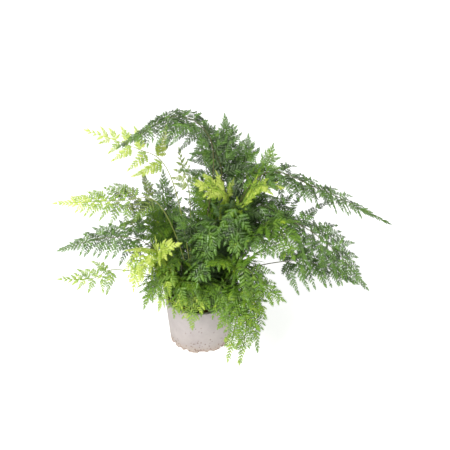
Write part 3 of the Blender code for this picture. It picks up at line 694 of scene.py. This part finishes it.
def crumb_tree():
    """Scatters crumbs over a mesh's upward faces."""
    tree, source = new_tree("crumb_scatter", {
        "Ground": "Geometry", "Crumb shapes": "Collection", "Crumbs per square metre": "Float",
        "Smallest": "Float", "Largest": "Float", "Ground skin": "Material"},
        "Ground with crumbs")
    normal = node(tree, "GeometryNodeInputNormal")
    rise = node(tree, "ShaderNodeSeparateXYZ", {"Vector": normal})
    upward = node(tree, "FunctionNodeCompare", {
        0: rise.outputs["Z"], 1: 0.5}, data_type="FLOAT", operation="GREATER_THAN")
    spots = node(tree, "GeometryNodeDistributePointsOnFaces", {
        "Mesh": source["Ground"], "Selection": upward,
        "Density": source["Crumbs per square metre"], "Seed": 4})
    shapes = node(tree, "GeometryNodeCollectionInfo", {
        "Collection": source["Crumb shapes"], "Separate Children": True, "Reset Children": True})
    turn = node(tree, "FunctionNodeRandomValue", {
        "Max": (6.28, 6.28, 6.28), "Seed": 5}, data_type="FLOAT_VECTOR")
    size = node(tree, "FunctionNodeRandomValue", {
        2: source["Smallest"], 3: source["Largest"], "Seed": 6}, data_type="FLOAT")
    crumbs = node(tree, "GeometryNodeInstanceOnPoints", {
        "Points": spots, "Instance": shapes, "Pick Instance": True, "Rotation": turn,
        "Scale": size.outputs[1]})
    joined = node(tree, "GeometryNodeJoinGeometry", {"Geometry": source["Ground"]})
    connect(tree, joined, {"Geometry": crumbs})
    real = node(tree, "GeometryNodeRealizeInstances", {"Geometry": joined})
    skinned = node(tree, "GeometryNodeSetMaterial", {
        "Geometry": real, "Material": source["Ground skin"]})
    node(tree, "NodeGroupOutput", {"Ground with crumbs": skinned})
    return tree


def add_soil(skin):
    """Loose compost: an uneven top with crumbs of 1 to 3 mm lying on it."""
    random = np.random.default_rng(21)
    crumbs = []
    for number in range(CRUMB_SHAPES):
        crumb = bmesh.new()
        bmesh.ops.create_icosphere(crumb, subdivisions=1, radius=0.5)
        for corner in crumb.verts:
            corner.co *= random.uniform(0.7, 1.05)
            corner.co.z *= 0.7
        crumbs.append(finished_mesh(crumb, f"crumb_{number}"))
    shapes = shape_collection("crumb_shapes", crumbs)

    ground = bmesh.new()
    edge = outer_radius(SOIL_EDGE) - POT_WALL - SOIL_GAP
    rings = []
    for radius in np.linspace(SOIL_CENTRE, edge, SOIL_RINGS):
        ring = []
        for turn in np.linspace(0, 2 * math.pi, SOIL_COLUMNS, endpoint=False):
            x, y = radius * math.cos(turn), radius * math.sin(turn)
            drop = (SOIL_TOP - SOIL_EDGE) * (radius / edge) ** 3
            bump = noise.fractal((x / SOIL_LUMP, y / SOIL_LUMP, 3.7), 0.6, 2.0, 4)
            ring.append(ground.verts.new((x, y, SOIL_TOP - SOIL_UNEVEN - drop
                                          + SOIL_UNEVEN * bump)))
        rings.append(ring)
    bottom = POT_FLOOR + 0.5 * SOIL_GAP
    low_radius = outer_radius(bottom) - POT_WALL - SOIL_GAP
    rings.append([ground.verts.new((corner.co.x * low_radius / edge,
                                    corner.co.y * low_radius / edge, bottom))
                  for corner in rings[-1]])
    for ring, next_ring in zip(rings, rings[1:]):
        for number, corner in enumerate(ring):
            after = (number + 1) % len(ring)
            ground.faces.new((corner, next_ring[number], next_ring[after], ring[after]))
    ground.faces.new(rings[0])
    ground.faces.new(rings[-1][::-1])
    soil = grown("compost", finished_mesh(ground, "compost"), crumb_tree(), {
        "Crumb shapes": shapes, "Crumbs per square metre": CRUMBS_PER_SQUARE_METRE,
        "Smallest": CRUMB_SIZES[0], "Largest": CRUMB_SIZES[1], "Ground skin": skin})
    remove_shapes(shapes)
    stand_for(soil, "soil")


# ---- rhizomes ----

def scale_mesh():
    """One papery scale: a thin pointed lens that curls up at its tip."""
    shape = bmesh.new()
    vein = shape.verts.layers.float.new("vein")
    foot = shape.verts.new((0, 0, 0))
    tip = shape.verts.new((1, 0, 0.16))
    tip[vein] = 1.0
    sides = [shape.verts.new((0.4, y, -0.03)) for y in (-0.26, 0.26)]
    top = shape.verts.new((0.45, 0, 0.08))
    below = shape.verts.new((0.45, 0, -0.02))
    ring = (foot, sides[0], tip, sides[1])
    for one, two in zip(ring, ring[1:] + ring[:1]):
        shape.faces.new((one, two, top))
        shape.faces.new((two, one, below))
    return finished_mesh(shape, "papery_scale")


def add_rhizomes(tree, skin):
    """Creeping stems on the soil, clad in overlapping scales like a furry foot."""
    shapes = shape_collection("scale_shapes", [scale_mesh()])
    for seed, (name, middle) in enumerate(RHIZOMES.items()):
        random = np.random.default_rng(40 + seed)
        share = np.linspace(0, 1, RHIZOME_POINTS)
        angle = np.radians(middle + RHIZOME_SWEEP * (share - 0.5))
        circle = RHIZOME_CIRCLE + 1.2 * MM * np.sin(2 * math.pi * share)
        line = np.stack([circle * np.cos(angle), circle * np.sin(angle),
                         np.full(RHIZOME_POINTS, RHIZOME_HEIGHT)], -1)
        girth = RHIZOME_RADIUS * (1 - 0.45 * share ** 3)
        skeleton = Skeleton()
        skeleton.line(line, girth, 0.5, 0.0)
        for place in np.linspace(0.02, 0.99, SCALE_RINGS):
            centre = np.array([np.interp(place, share, line[:, axis]) for axis in range(3)])
            thick = np.interp(place, share, girth)
            step = np.array([np.interp(place - 0.02, share, line[:, axis]) for axis in range(3)])
            along = unit(centre - step)
            level = np.array((0, 0, 1.0))
            across = np.cross(along, level)
            for turn in (np.linspace(0, 2 * math.pi, SCALES_ROUND, endpoint=False)
                         + random.uniform(0, 0.6)):
                out = math.cos(turn) * across + math.sin(turn) * level
                lean = unit(along + 0.22 * out + 0.2 * random.normal(0, 1, 3) * (1 - abs(out)))
                normal = unit(out - np.dot(out, lean) * lean)
                length = random.uniform(*SCALE_LENGTHS) * MM
                skeleton.extend((centre + 0.93 * thick * out)[None], leaf_along=lean,
                                leaf_face=normal, leaf_length=length, leaf_kind=0)
        piece = grown(f"{name}_scaly_stem", skeleton.mesh(f"{name}_lines"), tree, {
            "Leaflet shapes": shapes, "Leaf size": 1.0, "Rib sides": RHIZOME_SIDES,
            "Leaf skin": skin})
        stand_for(piece, name)
    remove_shapes(shapes)


# ---- fronds ----

def smooth_path(points):
    """Centripetal Catmull-Rom curve through the points, which leaves the soil upright."""
    points = np.array(points, float)
    rise = STEM_UPRIGHT * np.linalg.norm(points[1] - points[0])
    before = points[0] - (0, 0, rise)
    after = 2 * points[-1] - points[-2]
    points = np.vstack([before, points, after])
    knots = np.linalg.norm(np.diff(points, axis=0), axis=1) ** 0.5
    steps = np.diff(points, axis=0) / knots[:, None]
    t = np.linspace(0, 1, SPAN_SAMPLES, endpoint=False)[:, None]
    spans = []
    for index in range(1, len(points) - 2):
        before_knot, knot, after_knot = knots[index - 1:index + 2]
        start, end = points[index], points[index + 1]
        leave = knot * (steps[index - 1] + steps[index]
                        - (end - points[index - 1]) / (before_knot + knot))
        arrive = knot * (steps[index] + steps[index + 1]
                         - (points[index + 2] - start) / (knot + after_knot))
        spans.append((2 * t ** 3 - 3 * t ** 2 + 1) * start + (t ** 3 - 2 * t ** 2 + t) * leave
                     + (3 * t ** 2 - 2 * t ** 3) * end + (t ** 3 - t ** 2) * arrive)
    spans.append(points[-2][None])
    return np.vstack(spans)


def stem_foot(cad_name):
    """Where the CAD frond's stem stands: its corners at the height of the stems' feet, inside
    the pot."""
    points = np.array([tuple(corner.co) for corner in bpy.data.objects[cad_name].data.vertices])
    low = abs(points[:, 2] - STEM_FOOT) < 1 * MM
    inside = np.hypot(points[:, 0], points[:, 1]) < FEET_WITHIN
    return points[low & inside].mean(axis=0)


class Skeleton:
    """Lines and leaflet points of one frond, gathered before they become a mesh."""

    def __init__(self):
        self.points, self.edges = [], []
        self.values = {key: [] for key in SKELETON_VALUES}
        self.count = 0

    def extend(self, points, **values):
        points = np.atleast_2d(points)
        number = len(points)
        self.points.append(points)
        for key, kind in SKELETON_VALUES.items():
            shape = (number, 3) if kind == "FLOAT_VECTOR" else number
            self.values[key].append(np.zeros(shape) + values.get(key, 0))
        self.count += number

    def line(self, points, girth, age, stem):
        first = self.count
        self.edges += [(first + i, first + i + 1) for i in range(len(points) - 1)]
        self.extend(points, girth=girth, age=age, stem=stem)

    def leaflets(self, points, along, face, length, age, kind=None):
        if kind is None:
            kind = np.searchsorted(KIND_LENGTHS, length)
        self.extend(points, leaf_along=along, leaf_face=face, leaf_length=length,
                    leaf_kind=kind, age=age)

    def mesh(self, name):
        made = bpy.data.meshes.new(name)
        made.from_pydata(np.vstack(self.points).tolist(), self.edges, [])
        for key, kind in SKELETON_VALUES.items():
            layer = made.attributes.new(key, kind, "POINT")
            data = np.concatenate(self.values[key]).ravel()
            layer.data.foreach_set("vector" if kind == "FLOAT_VECTOR" else "value",
                                   data.astype(np.int32 if kind == "INT" else np.float32))
        return made


class Frond:
    """One frond's middle line, and the pinnae and leaflets that grow from it."""

    def __init__(self, name, seed):
        shoulder, bend, tip, width, roll, droop, age = FRONDS[name]
        points = [np.array(place) * CM for place in (shoulder, bend, tip)]
        self.width = width * CM
        self.roll = math.radians(roll)
        self.droop = droop
        self.age = age
        self.random = np.random.default_rng(seed)
        self.path = smooth_path([stem_foot(f"frond_{name}"), *points])
        steps = np.linalg.norm(np.diff(self.path, axis=0), axis=1)
        self.travel = np.concatenate([[0], np.cumsum(steps)])
        self.shoulder = self.travel[SPAN_SAMPLES]
        self.start = self.shoulder * (1 if name in LONG_STALKED else LEAFY_FROM)
        self.taper = TAPER[0] + TAPER[1] * width
        self.openness = OPEN_FRONDS.get(name, 1.0)
        self.freshening = FRESH_TIPS.get(name, USUAL_FRESHENING)
        self.length = self.travel[-1]
        heading = points[2] - points[0]
        if math.hypot(heading[0], heading[1]) < MIN_HEADING:
            heading = points[0]
        self.across = unit(np.cross((heading[0], heading[1], 0), (0, 0, 1)))

    def at(self, distance):
        return np.stack([np.interp(distance, self.travel, self.path[:, axis])
                         for axis in range(3)], axis=-1)

    def frame(self, distance):
        """Point, direction, right-hand side and face normal of the blade at a distance."""
        ahead = self.at(min(distance + FRAME_REACH, self.length))
        along = unit(ahead - self.at(max(distance - FRAME_REACH, 0)))
        side = unit(self.across - np.dot(self.across, along) * along)
        face = np.cross(side, along)
        rolled = side * math.cos(self.roll) + face * math.sin(self.roll)
        return self.at(distance), along, rolled, np.cross(rolled, along)

    def age_and_heart_shade(self, distance):
        """Growth is freshest at the tips, and down in the clump it is darkened as painted shade.
        """
        above = np.clip((distance - self.shoulder) / (self.length - self.shoulder), 0, 1)
        below = np.clip(1 - distance / self.shoulder, 0, 1)
        fresher = self.freshening * (above ** 1.5 - 0.4)
        # painted shade: darker below the shoulder, down in the clump
        return np.clip(self.age + fresher - HEART_PAINTED_SHADE * below, 0, 1)

    def reach(self, distance):
        """Length of the pinnae: shorter below the shoulder, and tapering from it to the tip."""
        above = max(0, (distance - self.shoulder) / (self.length - self.shoulder))
        below = max(0, 1 - distance / self.shoulder)
        return self.width * (1 - above) ** self.taper * (1 - below)

    def grow(self):
        """The stem, then pinnae in pairs up to the tip, and the leaflet that ends it."""
        skeleton = Skeleton()
        distances = np.concatenate([np.linspace(0, self.start, STEM_STEPS, endpoint=False),
                                    np.linspace(self.start, self.length, BLADE_STEPS)])
        share = np.clip((distances - self.start) / (self.length - self.start), 0, 1)
        girth = np.interp(distances, (0, self.start, self.length), STEM_GIRTH)
        skeleton.line(self.at(distances), girth, self.age_and_heart_shade(distances), 1 - 0.55 * share)
        distance = self.start if self.start == self.shoulder else HEART_FROM * self.shoulder
        while distance < self.length - 3 * MM:
            reach = 1.05 * self.reach(distance)
            spacing = (PINNA_GAP[0] + PINNA_GAP[1] * reach) * self.openness
            for sign in (-1, 1):
                place = distance + (PINNA_STAGGER * spacing if sign > 0 else 0)
                if place < self.length - 2 * MM:
                    jitter = self.random.normal(1, 0.07)
                    least = LEAST_REACH if distance > self.start else HEART_REACH
                    self.add_pinna(skeleton, place, sign, max(reach * jitter, least), spacing)
            distance += spacing
        inset, length = FROND_TIP
        end, along, _, face = self.frame(self.length - inset)
        skeleton.leaflets(end[None], along, face, np.array([length]), self.age_and_heart_shade(self.length))
        return skeleton

    def add_pinna(self, skeleton, distance, sign, reach, spacing):
        """One pinna: a drooping rib that sweeps forward, with leaflets along both its sides."""
        share = (distance - self.start) / (self.length - self.start)
        base, along, side, face = self.frame(distance)
        angle = math.radians(PINNA_ANGLE - PINNA_SWEEP * share + self.random.normal(0, 4))
        tilt = math.radians(self.random.normal(0, 9))
        out = sign * math.cos(tilt) * side + math.sin(tilt) * face
        direction = math.cos(angle) * along + math.sin(angle) * out
        age = float(self.age_and_heart_shade(distance)) + self.random.normal(0, 0.06)
        if reach < ONE_LEAFLET:
            normal = unit(face - np.dot(face, direction) * direction)
            skeleton.leaflets(base[None], unit(direction), normal, np.array([reach]), age,
                              kind=len(LEAFLET_KINDS) - 1)
            return
        down = np.array((0, 0, -1.0))
        droop = self.droop + self.random.uniform(0, 0.12)

        def rib(v):
            v = np.asarray(v)[..., None]
            return base + reach * (v * direction + RIB_BOW * (v * v - v) * along
                                   + droop * v ** 1.8 * down)

        v = np.linspace(0, 1, max(5, round(reach / RIB_SEGMENT)))
        girth = RIB_GIRTH[0] + (RIB_GIRTH[1] - RIB_GIRTH[0]) * v
        skeleton.line(rib(v), girth, age, 0.35)
        twist = math.radians(self.random.normal(0, 15))
        longest = min(LEAFLET_LIMITS[0] * spacing / self.openness, LEAFLET_LIMITS[1] * reach,
                      LEAFLET_LIMITS[2])
        for hand in (-1, 1):
            places, lengths = [], []
            travel = (0.22 if hand * sign > 0 else 0.4) * longest
            while travel < reach - 2.5 * MM:
                length = max(LEAST_LEAFLET, longest * (1 - travel / reach) ** 0.6)
                places.append(travel / reach)
                lengths.append(length * self.random.uniform(0.88, 1.12))
                travel += LEAFLET_GAP[1] * length + LEAFLET_GAP[0]
            if places:
                self.add_leaflets(skeleton, rib, np.array(places), np.array(lengths), hand, face,
                                  twist, age)
        inset, length = PINNA_TIP
        tip = rib(1 - inset / reach)
        forward = unit(rib(1.0) - tip)
        normal = unit(face - np.dot(face, forward) * forward)
        skeleton.leaflets(tip[None], forward, normal, np.array([length]), min(1, age + 0.05))

    def add_leaflets(self, skeleton, rib, v, lengths, hand, face, twist, age):
        """Leaflets along one side of a rib: opener at its foot, swept forward at its tip."""
        points = rib(v)
        forward = unit(rib(np.minimum(v + 0.02, 1)) - rib(v - 0.02))
        normal = unit(face - (forward @ face)[:, None] * forward)
        across = np.cross(normal, forward)
        turned = across * math.cos(twist) + normal * math.sin(twist)
        angle = np.radians(LEAFLET_ANGLE - LEAFLET_SWEEP * v
                           + self.random.normal(0, 5, len(v)))[:, None]
        fold = np.radians(self.random.normal(8, 14, len(v)))[:, None]
        out = hand * turned * np.cos(fold) - normal * np.sin(fold)
        along = unit(np.cos(angle) * forward + np.sin(angle) * out)
        up = unit(normal - (normal * along).sum(-1, keepdims=True) * along)
        drift = self.random.normal(0, TONE_SPREAD, len(v))
        tone = np.clip(age + TONE_SPREAD * (v - 0.5) + drift, 0, 1)
        skeleton.leaflets(points, along, up, lengths, tone)


def leaf_slot(age):
    """The material slot of a frond of that age."""
    if age < GREEN_FROM:
        return "leaf_mature"
    return "leaf_green" if age < LIME_FROM else "leaf_lime"


def add_fronds(tree):
    """Grows every frond in its CAD node's place."""
    skins = {slot: fern_leaf(*look) for slot, look in LEAF_SKINS.items()}
    shapes = shape_collection("leaflet_shapes", [
        leaflet_mesh(f"leaflet_{number}", *kind) for number, kind in enumerate(LEAFLET_KINDS)])
    for seed, (name, row) in enumerate(FRONDS.items()):
        slot = leaf_slot(row[-1])
        skeleton = Frond(name, seed).grow().mesh(f"{name}_lines")
        piece = grown(f"{name}_foliage", skeleton, tree, {
            "Leaflet shapes": shapes, "Leaf size": LEAF_SIZE[slot], "Rib sides": RIB_SIDES,
            "Leaf skin": skins[slot]})
        stand_for(piece, f"frond_{name}")
    remove_shapes(shapes)


# ---- stage ----

def add_stage():
    """A pale floor and a soft white room."""
    bpy.ops.mesh.primitive_plane_add(size=FLOOR_SIZE)
    floor = bpy.context.object
    floor.name = "floor"
    material, tree, shader = new_material("pale_floor")
    connect(tree, shader, {"Base Color": colour("FFFFFF"), "Roughness": 0.9,
                           "Emission Color": colour("FFFFFF"), "Emission Strength": FLOOR_GLOW})
    floor.data.materials.append(material)
    world = bpy.data.worlds.new("soft_room")
    bpy.context.scene.world = world
    world.use_nodes = True
    tree = world.node_tree
    # seen directly the room is as white as the floor, but it lights the plant more softly
    path = node(tree, "ShaderNodeLightPath")
    strength = node(tree, "ShaderNodeMapRange", {
        "Value": path.outputs["Is Camera Ray"], "To Min": ROOM_LIGHT, "To Max": 1.0})
    connect(tree, tree.nodes["Background"], {"Color": (1, 1, 1, 1), "Strength": strength})


def add_softbox(name, place, size, power):
    data = bpy.data.lights.new(name, "AREA")
    data.shape = "DISK"
    data.size = size
    data.energy = power
    light = new_object(name, data)
    light.location = place
    aim = Vector(LIGHT_TARGET) - Vector(place)
    light.rotation_euler = aim.to_track_quat("-Z", "Y").to_euler()


def add_camera():
    data = bpy.data.cameras.new("camera")
    data.lens = CAMERA_LENS
    data.sensor_width = SENSOR_WIDTH
    rise = math.radians(CAMERA_ELEVATION)
    camera = new_object("camera", data)
    back = Vector((0, -math.cos(rise), math.sin(rise)))
    camera.location = Vector(CAMERA_TARGET) + back * CAMERA_DISTANCE
    camera.rotation_euler = (math.pi / 2 - rise, 0, 0)
    bpy.context.scene.camera = camera


bpy.context.scene.view_settings.view_transform = "Standard"
add_camera()
add_stage()
for softbox, (place, size, power) in SOFTBOXES.items():
    add_softbox(softbox, place, size, power)
growth = frond_tree()
add_pot(fired_stoneware("fired_stoneware"))
add_soil(potting_soil("potting_soil"))
add_rhizomes(growth, rhizome_scale("rhizome_scales"))
add_fronds(growth)
